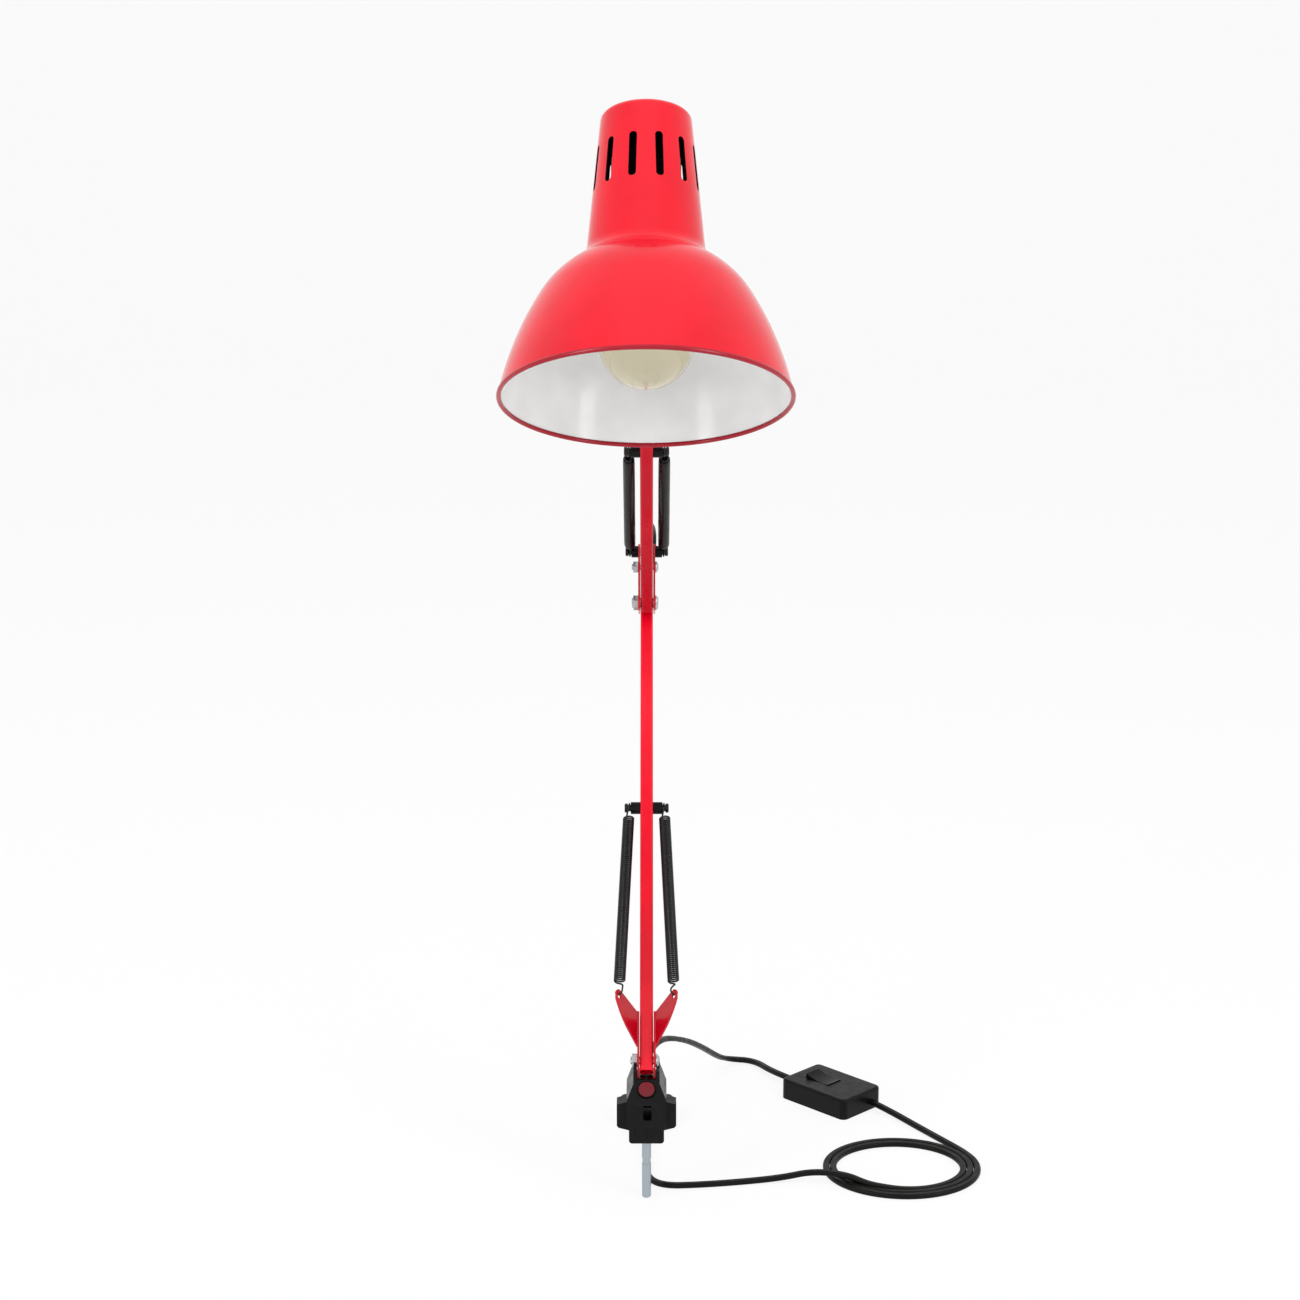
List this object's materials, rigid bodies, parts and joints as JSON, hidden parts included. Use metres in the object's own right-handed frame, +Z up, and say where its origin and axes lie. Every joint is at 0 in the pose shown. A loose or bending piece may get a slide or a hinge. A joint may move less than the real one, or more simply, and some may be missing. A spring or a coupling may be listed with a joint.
{
  "type": "desk lamp",
  "caption": "Red spring-balanced desk lamp: two arms of paired square bars, a bell shade with a slotted neck, a black foot on a steel spigot, and a mains lead with an inline switch.",
  "frame": {"origin": "centre of the spigot where it leaves the underside of the black foot", "axes": "+Z up along the spigot's axis, -Y towards the lamp's front (the shade's side), +X to the right seen from the front"},
  "size_m": [0.286, 0.4068, 0.6542],
  "materials": {
    "red_paint": "gloss",
    "shade_paint": "gloss",
    "black_plastic": "satin",
    "plated_steel": "satin",
    "bright_plating": "gloss",
    "black_spring": "satin",
    "black_sleeve": "satin",
    "lead_sheath": "matte",
    "cream_plastic": "gloss",
    "clear_glass": "gloss",
    "brass": "satin"
  },
  "bodies": {
    "base": {"base_block": "black_plastic", "base_bracket": "red_paint", "base_bolts": "bright_plating", "base_nuts": "bright_plating", "block_stud": "red_paint", "spigot": "plated_steel", "cord_relief": "black_plastic", "cord_lead": "lead_sheath", "switch_body": "black_plastic", "cord_link": "lead_sheath", "cord_coil": "lead_sheath", "cord_tail": "lead_sheath", "plug_body": "black_plastic", "plug_pins": "bright_plating"},
    "rocker": {"switch_rocker": "black_plastic"},
    "lower_front": {"lower_front_bar": "red_paint", "lower_spring_rod": "black_spring", "lower_rod_sleeves": "black_sleeve", "lower_spring_left": "black_spring", "lower_spring_right": "black_spring"},
    "lower_rear": {"lower_rear_bar": "red_paint"},
    "elbow": {"elbow_plates": "red_paint", "elbow_bolts": "bright_plating", "elbow_nuts": "bright_plating", "elbow_spring_rod": "black_spring", "elbow_rod_sleeves": "black_sleeve", "elbow_lead": "lead_sheath"},
    "upper_front": {"upper_front_bar": "red_paint", "upper_spring_rod": "black_spring", "upper_rod_sleeves": "black_sleeve", "upper_spring_left": "black_spring", "upper_spring_right": "black_spring", "upper_spring_sleeves": "black_sleeve"},
    "upper_rear": {"upper_rear_bar": "red_paint"},
    "head": {"head_plates": "red_paint", "head_bolts": "bright_plating", "head_nuts": "bright_plating"},
    "shade": {"shade": "shade_paint", "shade_stem": "red_paint", "shade_rivets": "plated_steel", "lampholder": "black_plastic", "lampholder_skirt": "cream_plastic", "bulb_cap": "brass", "bulb_glass": "clear_glass", "bulb_stem": "clear_glass"}
  },
  "joints": [
    {"name": "lower_fold", "type": "hinge", "parent": "base", "child": "lower_front", "pos_m": [0, -0.003, 0.0504], "axis": [1, 0, 0], "range_deg": [-22, 55], "deforming": ["lower_spring_left", "lower_spring_right"]},
    {"name": "lower_rear_turn", "type": "hinge", "parent": "base", "child": "lower_rear", "pos_m": [0, 0.014, 0.0444], "axis": [1, 0, 0], "range_deg": [-22, 55]},
    {"name": "elbow_level", "type": "hinge", "parent": "lower_front", "child": "elbow", "pos_m": [0, 0.21184, 0.28159], "axis": [1, 0, 0], "range_deg": [-55, 22]},
    {"name": "upper_fold", "type": "hinge", "parent": "elbow", "child": "upper_front", "pos_m": [0, 0.19284, 0.28659], "axis": [1, 0, 0], "range_deg": [-23, 60], "deforming": ["upper_spring_left", "upper_spring_right", "upper_spring_sleeves", "elbow_lead"]},
    {"name": "upper_rear_turn", "type": "hinge", "parent": "elbow", "child": "upper_rear", "pos_m": [0, 0.20084, 0.30719], "axis": [1, 0, 0], "range_deg": [-23, 60]},
    {"name": "head_level", "type": "hinge", "parent": "upper_front", "child": "head", "pos_m": [0, 0.02769, 0.53704], "axis": [1, 0, 0], "range_deg": [-60, 23]},
    {"name": "head_tilt", "type": "hinge", "parent": "head", "child": "shade", "pos_m": [0, 0.00429, 0.52824], "axis": [1, 0, 0], "range_deg": [-28, 30]},
    {"name": "rocker_tip", "type": "hinge", "parent": "base", "child": "rocker", "pos_m": [0.11545, 0.15015, -0.027], "axis": [0.7071, 0.7071, 0], "range_deg": [-14, 0]}
  ],
  "couplings": [
    {"joint": "lower_rear_turn", "follows": "lower_fold", "ratio": 1},
    {"joint": "elbow_level", "follows": "lower_fold", "ratio": -1},
    {"joint": "upper_rear_turn", "follows": "upper_fold", "ratio": 1},
    {"joint": "head_level", "follows": "upper_fold", "ratio": -1}
  ]
}
